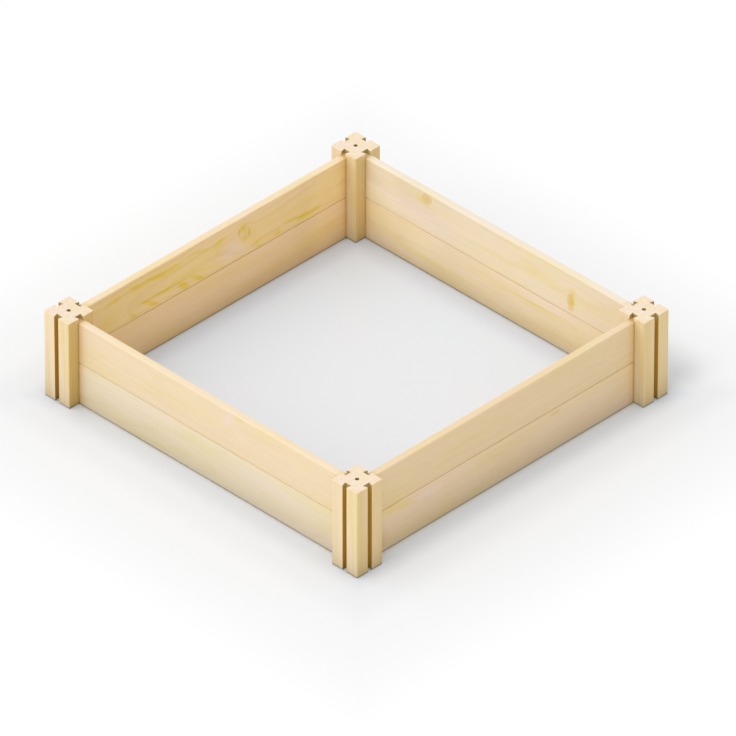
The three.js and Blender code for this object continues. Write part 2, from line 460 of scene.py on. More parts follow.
arris_highlight_band, given, result = start_group(
    "arris_highlight_band", ["Grain", "Middle", "Half Size"], ["Width"], ["Mask"]
)
tree = arris_highlight_band
offset = calc_vector(tree, "SUBTRACT", given["Grain"], given["Middle"])
reach = calc_vector(tree, "ABSOLUTE", offset)
in_x, in_y, in_z = split(tree, calc_vector(tree, "SUBTRACT", given["Half Size"], reach))
lesser = calc(tree, "MINIMUM", in_x, in_y)
greater = calc(tree, "MAXIMUM", in_x, in_y)
middle_one = calc(tree, "MAXIMUM", lesser, calc(tree, "MINIMUM", greater, in_z))
chips = grainy(tree, given["Grain"], CHIP_STRETCH, detail=3.0, roughness=0.6)
share = ease(tree, chips, *CHIP_EDGES, NARROWEST, WIDEST)
uneven_width = calc(tree, "MULTIPLY", given["Width"], share)
feed(tree, result["Mask"], ease(tree, middle_one, 0.0, uneven_width, 1.0, 0.0))

# %% [markdown]
# ## The pine itself
#
# Every piece is the same wood, and only its place in the log differs. So its colour starts from
# one pale tone, and each step lays a tint over it where a mask says so. A tint multiplies, as a
# stain does: it is the share of red, green and blue that the wood keeps. A little over 1 bleaches.

# %% Colours of pine
PALE_WOOD = seen_colour(243, 224, 184)
PINK_TINT = (1.01, 1.00, 1.07, 1)
YELLOW_TINT = (0.99, 0.97, 0.86, 1)
LATE_TINT = (0.88, 0.79, 0.62, 1)
CANAL_TINT = (0.72, 0.58, 0.42, 1)
KNOT_TINT = (0.96, 0.79, 0.38, 1)
COLLAR_TINT = (0.80, 0.64, 0.42, 1)
PATCH_TINTS = {
    "flame": (0.93, 0.91, 0.14, 1),
    "pale": (1.01, 1.02, 1.20, 1),
    "pink": (1.01, 0.96, 1.04, 1),
    # Brown is the wood's own on most boards, and painted shade beside a post on one.
    "brown_and_painted_shade": COLLAR_TINT,
    # Painted light that lifts the shade in the back left corner.
    "painted_corner_light": (1.14, 1.16, 1.20, 1),
    "milky": (1.00, 1.02, 1.50, 1),
}
END_TINT = (1.01, 1.03, 1.24, 1)
# Painted shade, with the boards' warm bounce, on a post's two faces towards ±X.
PAINTED_SIDE_SHADE_TINT = (0.86, 0.75, 0.46, 1)
# Painted shade near a board's ends, beside the posts, and deeper painted shade at the joint.
PAINTED_END_SHADE_TINT = (0.95, 0.85, 0.67, 1)
PAINTED_JOINT_SHADE_TINT = (0.78, 0.74, 0.58, 1)
# Painted light on the faces of a board that look up.
PAINTED_TOP_LIGHT_TINT = (1.00, 1.02, 1.08, 1)
# Painted contact shade where the wood meets the ground.
PAINTED_FOOT_SHADE_TINT = (0.56, 0.61, 0.72, 1)
# Painted shade inside the grooves and holes and on the boards' chamfers, greyer near a post's top.
PAINTED_RECESS_SHADE_TINT = (0.70, 0.52, 0.105, 1)
PAINTED_RECESS_TOP_SHADE_TINT = (0.57, 0.54, 0.31, 1)
# A painted highlight along the arrises.
PAINTED_ARRIS_HIGHLIGHT_TINT = (1.03, 1.04, 1.08, 1)


def stain(tree, colour, *layers):
    """Lays tints over a colour, one after another. A layer is a mask from 0 to 1 and its tint."""
    for mask, tint in layers:
        colour = blend_colour(tree, mask, colour, tint, "MULTIPLY")
    return colour


# %% [markdown]
# ### What the tree grew
#
# Knots are placed first, because the grain bends round them. Then come a slow drift between pink
# and yellow, the tone of each year's ring, its late wood, the fibres and the resin canals.

# %% Grain, rings and fibres
SLOW_STRETCH = (3.5, 20, 16)
PINK_WHERE = (0.42, 0.62)
YELLOW_WHERE = (0.30, 0.50)
BAND_EDGES = (0.35, 0.65)
SILK_EDGES = (0.3, 0.7)
TONE_STAIN = 0.12
SILK_STAIN = 0.18
CANAL_STAIN = 0.35


def bend_round_knots(tree, grain, knots):
    """The grain bent by all knots, and a list of each knot's masks and strength."""
    bent = grain
    placed = []
    for along, up, half_length, half_height, lean, strength in knots:
        masks = use_group(
            tree, branch_knot, grain=grain, place=(along * MM, 0, up * MM),
            size=(half_length * MM, 1, half_height * MM), turn=math.radians(lean),
        )
        shift = add(tree, "CombineXYZ", {"Z": masks["Bend"]})["Vector"]
        bent = calc_vector(tree, "ADD", bent, shift)
        placed.append((masks, strength))
    return bent, placed


def grow(tree, bent, look):
    """The colour of plain wood, with the masks of its rings and of its fibres."""
    rings = use_group(
        tree, log_rings, grain=bent, heart=[part * MM for part in look["heart"]],
        ring_width=look["ring_width"] * MM, taper=look["taper"], wander=look["wander"] * MM,
    )
    fibre = use_group(tree, wood_fibre, grain=bent)
    slow = grainy(tree, bent, SLOW_STRETCH)
    colour = stain(
        tree, look["base"],
        (ease(tree, slow, *PINK_WHERE), PINK_TINT),
        (ease(tree, slow, *YELLOW_WHERE, 1.0, 0.0), YELLOW_TINT),
        (calc(tree, "MULTIPLY", rings["Tone"], TONE_STAIN), YELLOW_TINT),
        (calc(tree, "MULTIPLY", rings["Late"], look["late"]), LATE_TINT),
        (ease(tree, fibre["Bands"], *BAND_EDGES, 0.0, look["bands"]), LATE_TINT),
        (ease(tree, fibre["Silk"], *SILK_EDGES, 0.0, SILK_STAIN), LATE_TINT),
        (calc(tree, "MULTIPLY", fibre["Canals"], CANAL_STAIN), CANAL_TINT),
    )
    return colour, rings, fibre


# %% [markdown]
# ### Patches and knots
#
# A flame isn't an even wash. Resin runs along single fibres and gathers in the late wood, so its
# mask is broken up by the fibres' streaks and by the arches of the rings.

# %% Patches and knots
PATCH_DEPTH = 14 * MM
# Two values of the mask, and the share of a flame that is left at each.
STREAKS = (0.35, 0.60, 0.68, 1.08)
ARCHES = (0.0, 0.7, 0.72, 1.12)
SWIRL_STAIN = 0.22
COLLAR_STAIN = 0.35


def lay_patches(tree, colour, bent, rings, fibre, look):
    """The colour with every soft patch of one face laid over it."""
    streaks = ease(tree, fibre["Silk"], *STREAKS)
    arches = ease(tree, rings["Late"], *ARCHES)
    for kind, spots in look["patches"].items():
        for along, up, half_length, half_height, lean, ragged, strength in spots:
            mask = use_group(
                tree, soft_patch, grain=bent, place=(along * MM, look["patch_face"], up * MM),
                size=(half_length * MM, PATCH_DEPTH, half_height * MM), turn=math.radians(lean),
                ragged=ragged,
            )["Mask"]
            if kind == "flame":
                mask = calc(tree, "MULTIPLY", calc(tree, "MULTIPLY", mask, streaks), arches)
            mask = calc(tree, "MULTIPLY", mask, strength)
            colour = stain(tree, colour, (mask, PATCH_TINTS[kind]))
    return colour


def lay_knots(tree, colour, placed):
    """The colour with the knots' bodies, their inner lines and their collars."""
    for masks, strength in placed:
        body = calc(tree, "MULTIPLY", masks["Body"], strength)
        lines = calc(tree, "MULTIPLY", calc(tree, "MULTIPLY", masks["Swirl"], body), SWIRL_STAIN)
        collar = calc(tree, "MULTIPLY", masks["Collar"], strength * COLLAR_STAIN)
        colour = stain(
            tree, colour, (body, KNOT_TINT), (lines, COLLAR_TINT), (collar, COLLAR_TINT)
        )
    return colour


# %% [markdown]
# ### What the saw left, and painted light and shade
#
# End grain is paler. A post's two faces towards ±X are painted darker and yellower: painted shade,
# with the boards' warm bounce painted in. A board gets painted shade towards its shoulders, deeper
# at the very joint, and painted light on the faces that look up.

# %% Sawn faces, and painted light and shade
FACES = (0.6, 0.9)  # a normal's share in a direction: below, it faces elsewhere, above, that way
SIDE_SHADE_KEPT_OFF = 0.6  # how much less of it there is inside a groove
END_SHADE_SPAN = (38 * MM, 10 * MM)
JOINT_SHADE_SPAN = (20 * MM, 12 * MM)
TOP_FACES = (0.4, 0.9)


def paint_post_side_shade(tree, normal, routed_painted_shade, look):
    """The layer of painted shade that makes a post's two faces towards ±X darker and yellower."""
    sideways = calc(tree, "ABSOLUTE", normal["X"])
    painted_side_shade = ease(tree, sideways, *FACES, 0.0, look["painted_side_shade"])
    outside = calc(tree, "MULTIPLY_ADD", routed_painted_shade, -SIDE_SHADE_KEPT_OFF, 1.0)
    return [(calc(tree, "MULTIPLY", painted_side_shade, outside), PAINTED_SIDE_SHADE_TINT)]


def paint_board_light_and_shade(tree, normal, grain, half_length, look):
    """The layers of painted shade at a board's shoulders and its joints, and of painted light on
    its top faces.
    """
    from_middle = calc(tree, "ABSOLUTE", split(tree, grain)["X"])
    # Painted shade towards the shoulders, deeper at the joint.
    painted_end_shade, painted_joint_shade = [
        ease(tree, from_middle, *[half_length - distance for distance in distances])
        for distances in (END_SHADE_SPAN, JOINT_SHADE_SPAN)
    ]
    # Painted light on the faces that look up.
    painted_top_light = ease(tree, normal["Z"], *TOP_FACES)
    return [(painted_end_shade, PAINTED_END_SHADE_TINT), (painted_joint_shade, PAINTED_JOINT_SHADE_TINT), (painted_top_light, look["painted_top_light_tint"])]


# %% [markdown]
# ### The whole material
#
# Last come a painted contact shade along the line where the wood meets the ground, painted shade
# inside the grooves, the holes and the boards' chamfers, greyer near the top, where light gets in,
# and a painted highlight along the arrises. The same masks make the wood duller or shinier and
# give it a fine relief.

# %% Pine material
FOOT_SHADE_HEIGHTS = (1.5 * MM, 7 * MM)
RECESS_TOP_HEIGHTS = (212 * MM, 235 * MM)
ARRIS_HIGHLIGHT_WIDTH = 1.6 * MM
ARRIS_HIGHLIGHT_STAIN = 0.5
ROUGHNESS = (0.25, 0.75, 0.51, 0.62)  # two values of the silk, and the roughness at each
RELIEF = 0.12 * MM
RELIEF_STRENGTH = 0.6
# What the masks add to the roughness, and to the height of the relief.
LATE_DULL, END_DULL, RUBBED_DULL, ROUTED_DULL = -0.08, 0.16, 0.10, 0.15
SILK_HEIGHT, LATE_HEIGHT, CANAL_HEIGHT = 0.55, 0.30, -0.35


def weigh(tree, start, *parts):
    """A start value and more masks, each times its weight, added up."""
    for mask, weight in parts:
        start = calc(tree, "MULTIPLY_ADD", mask, weight, start)
    return start


def pine(name, turn, stand, look, middle, half_size, along_up=False):
    """The material of one piece. Turn and stand carry the grain's directions onto the piece."""
    finish = bpy.data.materials.new(name)
    finish.use_nodes = True
    tree = finish.node_tree
    shader = tree.nodes["Principled BSDF"]
    coordinates = add(tree, "TexCoord")
    inputs = {"Vector": coordinates["Object"], "Location": stand, "Rotation": turn}
    grain = add(tree, "Mapping", inputs, vector_type="TEXTURE")["Vector"]
    routed_painted_shade = add(tree, "Attribute", attribute_name="routed_painted_shade")["Fac"]

    bent, placed = bend_round_knots(tree, grain, look["knots"])
    colour, rings, fibre = grow(tree, bent, look)
    if look["patches"]:
        colour = lay_patches(tree, colour, bent, rings, fibre, look)
    colour = lay_knots(tree, colour, placed)

    grain_way = (0, 0, 1) if along_up else (math.cos(turn[2]), math.sin(turn[2]), 0)
    along_grain = calc_vector(tree, "DOT_PRODUCT", coordinates["Normal"], grain_way)
    end_face = ease(tree, calc(tree, "ABSOLUTE", along_grain), *FACES)
    normal = split(tree, coordinates["Normal"])
    # Painted light and shade on the posts' faces and on the boards' ends, joints and tops.
    if along_up:
        painted_light_and_shade = paint_post_side_shade(tree, normal, routed_painted_shade, look)
    else:
        painted_light_and_shade = paint_board_light_and_shade(tree, normal, grain, half_size[0], look)
    height = split(tree, coordinates["Object"])["Z"]
    # Painted contact shade at the foot.
    painted_foot_shade = ease(tree, height, *FOOT_SHADE_HEIGHTS, 1.0, 0.0)
    # Painted shade in the grooves, holes and chamfers, greyer near the top of a post.
    painted_recess_shade = blend_colour(tree, ease(tree, height, *RECESS_TOP_HEIGHTS), PAINTED_RECESS_SHADE_TINT, PAINTED_RECESS_TOP_SHADE_TINT)
    # A painted highlight along the arrises, which are also duller.
    arris_highlight_and_dull = use_group(
        tree, arris_highlight_band, grain=grain, middle=middle, half_size=half_size, width=ARRIS_HIGHLIGHT_WIDTH
    )["Mask"]
    painted_arris_highlight = calc(tree, "MULTIPLY", arris_highlight_and_dull, ARRIS_HIGHLIGHT_STAIN)
    colour = stain(
        tree, colour, (end_face, END_TINT), *painted_light_and_shade, (painted_foot_shade, PAINTED_FOOT_SHADE_TINT), (routed_painted_shade, painted_recess_shade),
        (painted_arris_highlight, PAINTED_ARRIS_HIGHLIGHT_TINT),
    )
    feed(tree, shader.inputs["Base Color"], colour)

    dull = ease(tree, fibre["Silk"], *ROUGHNESS)
    dull = weigh(
        tree, dull, (rings["Late"], LATE_DULL), (end_face, END_DULL), (arris_highlight_and_dull, RUBBED_DULL),
        (routed_painted_shade, ROUTED_DULL),
    )
    feed(tree, shader.inputs["Roughness"], dull)
    bumps = weigh(
        tree, 0.0, (fibre["Silk"], SILK_HEIGHT), (rings["Late"], LATE_HEIGHT),
        (fibre["Canals"], CANAL_HEIGHT),
    )
    inputs = {"Strength": RELIEF_STRENGTH, "Distance": RELIEF, "Height": bumps}
    feed(tree, shader.inputs["Normal"], add(tree, "Bump", inputs)["Normal"])
    return finish


# %% [markdown]
# ## Finishing a mesh
#
# Real arrises aren't sharp: each has its own small radius, and a highlight runs along it. Every
# edge of a bare mesh carries the radius that it should get, as a share of the widest one. One
# Bevel modifier reads those shares and rounds all of them together, so that they meet cleanly at
# the corners. A Weighted Normal modifier then keeps the flats flat up to the roundings.

# %% Turning a bare mesh into a finished piece
FOLD = math.radians(20)  # faces that meet at a flatter angle than this have no arris between them
ARRIS_STEPS = 4


def round_edges(bm, radius_of):
    """Writes each edge's radius as a share of the widest, and returns the widest."""
    share = bm.edges.layers.float.new("bevel_weight_edge")
    radii = {edge: radius_of(edge) for edge in bm.edges}
    widest = max(radii.values())
    for edge, edge_radius in radii.items():
        edge[share] = edge_radius / widest
        is_fold = len(edge.link_faces) == 2 and edge.calc_face_angle() > FOLD
        edge.smooth = not (is_fold and edge_radius == 0)
    return widest


def finish_piece(name, bm, widest, body, node, material):
    """Makes the object, rounds its arrises, ties it to its body and hides the imported node it
    stands for.
    """
    bmesh.ops.recalc_face_normals(bm, faces=bm.faces)
    for face in bm.faces:
        face.smooth = True

    mesh = bpy.data.meshes.new(name)
    bm.to_mesh(mesh)
    piece = bpy.data.objects.new(name, mesh)
    scene.collection.objects.link(piece)
    arrises = piece.modifiers.new("arrises", "BEVEL")
    arrises.limit_method = "WEIGHT"
    arrises.width = widest
    arrises.segments = ARRIS_STEPS
    arrises.use_clamp_overlap = False
    flats = piece.modifiers.new("flats", "WEIGHTED_NORMAL")
    flats.keep_sharp = True
    mesh.materials.append(material)
    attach(piece, body)
    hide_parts(node)
    print(node, "has", len(bm.faces), "faces before its arrises are rounded")
    bm.free()


# %% [markdown]
# ## The posts
#
# A post is a square bar. A dovetail groove runs down the middle of each face: narrow at its mouth
# and wider inside, so a board's tenon can only slide in from above. A round hole is drilled in
# the head and in the foot. All four quarters of the head are alike, so one quarter is drawn with
# a few points and turned round the middle. The same head, turned over, is the foot.

# %% Sizes of a post
post_low, post_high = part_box("post_front_right")
POST_HALF = (post_high.x - post_low.x) / 2
POST_HEIGHT = post_high.z - post_low.z
POST_CORNER_RADIUS = 2.5 * MM
POST_END_RADIUS = 1.5 * MM
GROOVE_MOUTH_HALF = 6.25 * MM
GROOVE_DEPTH = 12 * MM
GROOVE_FLARE = math.radians(14)
GROOVE_LIP_RADIUS = 0.6 * MM
CUT_EDGE_RADIUS = 0.3 * MM
HOLE_RADIUS = 5 * MM
HOLE_DEPTH = 35 * MM
HOLE_QUARTER_STEPS = 8
DRILL_POINT = math.radians(118)
LEVEL = 0.9  # a face is level when its normal has more than this of Z in it
SAME = 0.01 * MM  # nearer than this is the same place

GROOVE_FLOOR = POST_HALF - GROOVE_DEPTH
GROOVE_FLOOR_HALF = GROOVE_MOUTH_HALF + GROOVE_DEPTH * math.tan(GROOVE_FLARE)
DRILL_POINT_DEPTH = HOLE_RADIUS / math.tan(DRILL_POINT / 2)
print(f"post {POST_HALF * 2 / MM:.0f} mm square and {POST_HEIGHT / MM:.0f} mm high")


# %% The head of a post
def points_in(geometry):
    """The points among mixed points, edges and faces."""
    return [part for part in geometry if isinstance(part, bmesh.types.BMVert)]


def draw_head(bm):
    """The head as four equal quarters round the hole, facing up."""
    rim_start = bm.verts.new((HOLE_RADIUS, 0, POST_HEIGHT))
    bmesh.ops.spin(
        bm, geom=[rim_start], axis=(0, 0, 1), cent=(0, 0, 0), angle=math.pi / 2,
        steps=HOLE_QUARTER_STEPS,
    )
    rim = sorted(bm.verts, key=lambda vert: -math.atan2(vert.co.y, vert.co.x))
    one_side = [
        (GROOVE_FLOOR, 0),
        (GROOVE_FLOOR, GROOVE_FLOOR_HALF),
        (POST_HALF, GROOVE_MOUTH_HALF),
    ]
    outline = [*one_side, (POST_HALF, POST_HALF), *[(y, x) for x, y in reversed(one_side)]]
    bm.faces.new([bm.verts.new((x, y, POST_HEIGHT)) for x, y in outline] + rim)
    bmesh.ops.spin(
        bm, geom=bm.verts[:] + bm.edges[:] + bm.faces[:], axis=(0, 0, 1), cent=(0, 0, 0),
        angle=math.radians(270), steps=3, use_duplicate=True,
    )
    bmesh.ops.remove_doubles(bm, verts=bm.verts, dist=SAME)


def from_axis(edge):
    """How far an edge's middle is from the post's axis."""
    middle = (edge.verts[0].co + edge.verts[1].co) / 2
    return middle.xy.length


# %% The whole post
def drill(bm, rim_edges, down):
    """A blind hole with the cone that a drill leaves, from a round rim."""
    walls = bmesh.ops.extrude_edge_only(bm, edges=rim_edges)["geom"]
    ring = points_in(walls)
    ring_edges = [
        part for part in walls
        if isinstance(part, bmesh.types.BMEdge) and all(vert in ring for vert in part.verts)
    ]
    bmesh.ops.translate(bm, verts=ring, vec=(0, 0, down * HOLE_DEPTH))
    cone = bmesh.ops.extrude_edge_only(bm, edges=ring_edges)["geom"]
    tip = points_in(cone)
    tip_height = tip[0].co.z + down * DRILL_POINT_DEPTH
    bmesh.ops.pointmerge(bm, verts=tip, merge_co=(0, 0, tip_height))


def make_post():
    """A post that stands at the origin, and the radius of its widest arris."""
    bm = bmesh.new()
    draw_head(bm)
    head = bm.verts[:] + bm.edges[:] + bm.faces[:]
    painted_foot_shade = bmesh.ops.duplicate(bm, geom=head)["geom"]
    bmesh.ops.translate(bm, verts=points_in(painted_foot_shade), vec=(0, 0, -POST_HEIGHT))

    open_edges = [edge for edge in bm.edges if edge.is_boundary]
    rims = [edge for edge in open_edges if from_axis(edge) < HOLE_RADIUS + SAME]
    bmesh.ops.bridge_loops(bm, edges=[edge for edge in open_edges if edge not in rims])
    drill(bm, [edge for edge in rims if edge.verts[0].co.z > POST_HEIGHT / 2], -1)
    drill(bm, [edge for edge in rims if edge.verts[0].co.z < POST_HEIGHT / 2], 1)
    bmesh.ops.recalc_face_normals(bm, faces=bm.faces)

    routed_painted_shade = bm.faces.layers.float.new("routed_painted_shade")
    for face in bm.faces:
        middle = face.calc_center_median()
        inside = max(abs(middle.x), abs(middle.y)) < POST_HALF - SAME
        # The walls of the grooves and holes are marked for their roughness and their painted shade.
        face[routed_painted_shade] = 1.0 if inside and abs(face.normal.z) < LEVEL else 0.0
    return bm


def post_edge_radius(edge):
    """The radius of one of a post's arrises."""
    first, second = (vert.co for vert in edge.verts)
    at_end = abs(first.z - second.z) < SAME and (first.z < SAME or first.z > POST_HEIGHT - SAME)
    upright = abs(first.z - second.z) > POST_HEIGHT - SAME
    on_x = min(abs(first.x), abs(second.x)) > POST_HALF - SAME
    on_y = min(abs(first.y), abs(second.y)) > POST_HALF - SAME
    if len(edge.link_faces) != 2 or edge.calc_face_angle() < FOLD:
        return 0.0
    if upright and on_x and on_y:
        return POST_CORNER_RADIUS
    if upright and (on_x or on_y):
        return GROOVE_LIP_RADIUS
    if at_end and (on_x or on_y):
        return POST_END_RADIUS
    if at_end:
        return CUT_EDGE_RADIUS
    return 0.0


# %% [markdown]
# Each post was cut from another part of another log, so each has its own heart, in millimetres
# from its axis, and its own ring width. The grain of a post runs upwards: a quarter turn about Y
# makes the grain's x axis point up.

# %% Posts in their places
POST_COLUMNS = ("heart", "ring_width", "taper", "wander", "painted_side_shade")
# The last column is how strong the painted shade on each post's faces towards ±X is.
POST_LOGS = {
    "front_left": ((0, 52, 30), 3.6, 0.010, 7, 1.0),
    "front_right": ((0, -46, 38), 3.2, 0.012, 6, 0.55),
    "back_right": ((0, 30, -58), 2.9, 0.008, 8, 0.5),
    "back_left": ((0, -60, -24), 3.9, 0.012, 7, 0.7),
}
PLAIN_POST = {"base": PALE_WOOD, "late": 0.24, "bands": 0.34, "knots": [], "patches": {}}
POST_GRAIN_TURN = (0, -math.pi / 2, 0)

for corner, log in POST_LOGS.items():
    node = f"post_{corner}"
    low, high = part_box(node)
    stand = Vector(((low.x + high.x) / 2, (low.y + high.y) / 2, low.z))
    bm = make_post()
    widest = round_edges(bm, post_edge_radius)
    bmesh.ops.translate(bm, verts=bm.verts, vec=stand)
    look = {**PLAIN_POST, **dict(zip(POST_COLUMNS, log))}
    wood = pine(
        f"pine_post_{corner}", POST_GRAIN_TURN, stand, look,
        middle=(POST_HEIGHT / 2, 0, 0), half_size=(POST_HEIGHT / 2, POST_HALF, POST_HALF),
        along_up=True,
    )
    finish_piece(f"{corner}_post", bm, widest, "frame", node, wood)

# %% [markdown]
# ## The boards
#
# A board is milled along its whole length to one section: a groove below and a tongue above on
# the lower board, a groove below and a rounded top on the upper one. Half of that section is
# drawn, mirrored, and pulled out to the length between the posts. Then the middle of each end is
# pulled out further and spread like a dove's tail: that is the tenon.

# %% Sizes of the boards
lower_low, lower_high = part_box("lower_board_front")
upper_low, upper_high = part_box("upper_board_front")
BOARD_HALF = (lower_high.y - lower_low.y) / 2
BOARD_REACH = (lower_high.x - lower_low.x) / 2
SIDE_DISTANCE = -(lower_high.y + lower_low.y) / 2
SEAM = upper_low.z
SHOULDER_GAP = 1 * MM
TENON_CLEARANCE = 0.3 * MM
SEAM_CHAMFER = 1.5 * MM
SEAM_GAP = 0.9 * MM
# How much of the painted recess shade the chamfers at the seam and the ground get.
SEAM_PAINTED_SHADE = 0.32
SEAM_LAND = 6.2 * MM
TOP_EDGE_RADIUS = 3 * MM
SMALL_EDGE_RADIUS = 0.35 * MM
TONGUE_ROOT_HALF = 3.2 * MM
TONGUE_TIP_HALF = 2.7 * MM
SLOT_MOUTH_HALF = 3.6 * MM
SLOT_TOP_HALF = 3.1 * MM
SLOT_DEPTH = 7 * MM
LENGTH_STEPS = 28
PLANING_WAVE = 0.22 * MM
WAVES_ALONG, WAVES_UP, WAVES_ACROSS = 6, 9, 40  # to the metre

SHOULDER = SIDE_DISTANCE - POST_HALF - SHOULDER_GAP
FLANK_ALLOWANCE = TENON_CLEARANCE / math.cos(GROOVE_FLARE)
TENON_ROOT_HALF = GROOVE_MOUTH_HALF - FLANK_ALLOWANCE - SHOULDER_GAP * math.tan(GROOVE_FLARE)
TENON_TIP_HALF = TENON_ROOT_HALF + (BOARD_REACH - SHOULDER) * math.tan(GROOVE_FLARE)
print(f"tenon {TENON_ROOT_HALF * 2 / MM:.2f} to {TENON_TIP_HALF * 2 / MM:.2f} mm wide")


# %% The section of a board
def half_section(bottom, top, has_tongue):
    """Half of a board's section, as (across, up), from the slot below to the top."""
    below = [
        (0, bottom + SLOT_DEPTH),
        (SLOT_TOP_HALF, bottom + SLOT_DEPTH),
        (SLOT_MOUTH_HALF, bottom),
        (BOARD_HALF - SEAM_CHAMFER, bottom),
        (BOARD_HALF, bottom + SEAM_CHAMFER),
    ]
    if has_tongue:
        above = [
            (BOARD_HALF, SEAM - SEAM_GAP - SEAM_CHAMFER),
            (BOARD_HALF - SEAM_CHAMFER, SEAM - SEAM_GAP),
            (SEAM_LAND, SEAM - SEAM_GAP),
            (SEAM_LAND, SEAM),
            (TONGUE_ROOT_HALF, SEAM),
            (TONGUE_TIP_HALF, top),
            (0, top),
        ]
    else:
        above = [(BOARD_HALF, top), (0, top)]
    return below + above


def draw_section(bm, bottom, top, has_tongue):
    """The whole section as one face, at the board's left shoulder."""
    half = [
        bm.verts.new((-SHOULDER, across, up))
        for across, up in half_section(bottom, top, has_tongue)
    ]
    bm.faces.new(half)
    bmesh.ops.mirror(
        bm, geom=bm.verts[:] + bm.edges[:] + bm.faces[:], axis="Y", merge_dist=SAME
    )
    inner = [edge for edge in bm.edges if all(abs(vert.co.y) < SAME for vert in edge.verts)]
    bmesh.ops.dissolve_edges(bm, edges=inner, use_verts=False)


# %% [markdown]
# Every step so far is an operator that the editor has too. The tenon is made the same way: the
# end face is cut in three by two upright planes, the middle strip is extruded, and the far
# corners of the strip are moved apart.

# %% The tenons
def cut_tenon(bm, side):
    """Pulls the middle of one end out into a dovetail. Side is -1 or 1."""

    def end_faces():
        """The faces that lie in the plane of the shoulder."""
        return [
            face for face in bm.faces
            if all(abs(vert.co.x - side * SHOULDER) < SAME for vert in face.verts)
        ]

    for plane in (-TENON_ROOT_HALF, TENON_ROOT_HALF):
        parts = [part for face in end_faces() for part in (face, *face.edges, *face.verts)]
        each_once = list(dict.fromkeys(parts))
        bmesh.ops.bisect_plane(
            bm, geom=each_once, plane_co=(0, plane, 0), plane_no=(0, 1, 0), dist=SAME
        )
    middle = [
        face for face in end_faces()
        if all(abs(vert.co.y) < TENON_ROOT_HALF + SAME for vert in face.verts)
    ]
    pulled = bmesh.ops.extrude_face_region(bm, geom=middle)["geom"]
    tip = points_in(pulled)
    bmesh.ops.delete(bm, geom=middle, context="FACES_ONLY")
    bmesh.ops.translate(bm, verts=tip, vec=(side * (BOARD_REACH - SHOULDER), 0, 0))
    corners = [vert for vert in tip if abs(abs(vert.co.y) - TENON_ROOT_HALF) < SAME]
    spread = TENON_TIP_HALF / TENON_ROOT_HALF
    bmesh.ops.scale(bm, verts=corners, vec=(1, spread, 1))


# %% [markdown]
# A planed board isn't perfectly straight: over its length its faces and its top edge drift by a
# hair. The long edges are divided, and each new row of points moves inwards by up to a fifth of
# a millimetre. It never moves outwards, so the board keeps its size.

# %% The whole board
def make_board(bottom, top, has_tongue):
    """A board with its middle at the origin's x and y, its outer face towards -Y."""
    bm = bmesh.new()
    draw_section(bm, bottom, top, has_tongue)
    section = bm.faces[:]
    pulled = bmesh.ops.extrude_face_region(bm, geom=section)["geom"]
    bmesh.ops.translate(bm, verts=points_in(pulled), vec=(2 * SHOULDER, 0, 0))
    bmesh.ops.recalc_face_normals(bm, faces=bm.faces)
    cut_tenon(bm, -1)
    cut_tenon(bm, 1)
    long_edges = [edge for edge in bm.edges if edge.calc_length() > SHOULDER]
    bmesh.ops.subdivide_edges(bm, edges=long_edges, cuts=LENGTH_STEPS, use_grid_fill=True)
    bmesh.ops.recalc_face_normals(bm, faces=bm.faces)

    routed_painted_shade = bm.faces.layers.float.new("routed_painted_shade")
    chamfer_middle = BOARD_HALF - SEAM_CHAMFER / 2
    for face in bm.faces:
        middle = face.calc_center_median()
        on_chamfer = abs(abs(middle.y) - chamfer_middle) < SAME
        # The chamfers at the seam and at the ground get a share of the painted recess shade.
        face[routed_painted_shade] = SEAM_PAINTED_SHADE if on_chamfer and abs(face.normal.x) < 0.5 else 0.0
    return bm


def board_edge_radius(top, has_tongue):
    """A function that gives the radius of one of a board's arrises."""

    def radius_of(edge):
        first, second = (vert.co for vert in edge.verts)
        if len(edge.link_faces) != 2 or edge.calc_face_angle() < FOLD:
            return 0.0
        if not edge.is_convex:
            return 0.0
        lengthwise = abs(first.y - second.y) < SAME and abs(first.z - second.z) < SAME
        at_top = min(first.z, second.z) > top - SAME
        if lengthwise and at_top and not has_tongue and abs(first.y) > BOARD_HALF - SAME:
            return TOP_EDGE_RADIUS
        return SMALL_EDGE_RADIUS

    return radius_of


def plane_by_hand(bm, top, has_tongue, seed):
    """Moves the points of the faces and of the top edge inwards by a hair."""
    for vert in bm.verts:
        if abs(vert.co.x) > SHOULDER - SAME:
            continue
        across, up = vert.co.y * WAVES_ACROSS, vert.co.z * WAVES_UP
        wave = (noise.noise((vert.co.x * WAVES_ALONG + seed, up, across)) + 1) / 2
        if abs(vert.co.y) > BOARD_HALF - SAME:
            vert.co.y -= math.copysign(wave * PLANING_WAVE, vert.co.y)
        if vert.co.z > top - SAME and not has_tongue:
            vert.co.z -= wave * PLANING_WAVE


# %% [markdown]
# ## What each board looks like
#
# The boards of the photograph are told apart by their figure. The left one is the liveliest: its
# inner face carries long yellow flames, a milky patch and the curl of a knot. The back one has two
# small knots, and the others are nearly plain. Places are in millimetres, along the board from its
# middle and up from the ground, as seen by someone who stands outside and looks at that side.
#
# - A log has its wood's colour as it looks on a screen, its heart, the width of its rings, how
#   much it tapers, and how far it wanders.
# - A knot has its place, half its length and height, its lean in degrees and its strength.
# - A patch has the same numbers as a knot, with how ragged it is before the strength. Patches are
#   listed by their kind, and they lie on the face that the photograph shows.

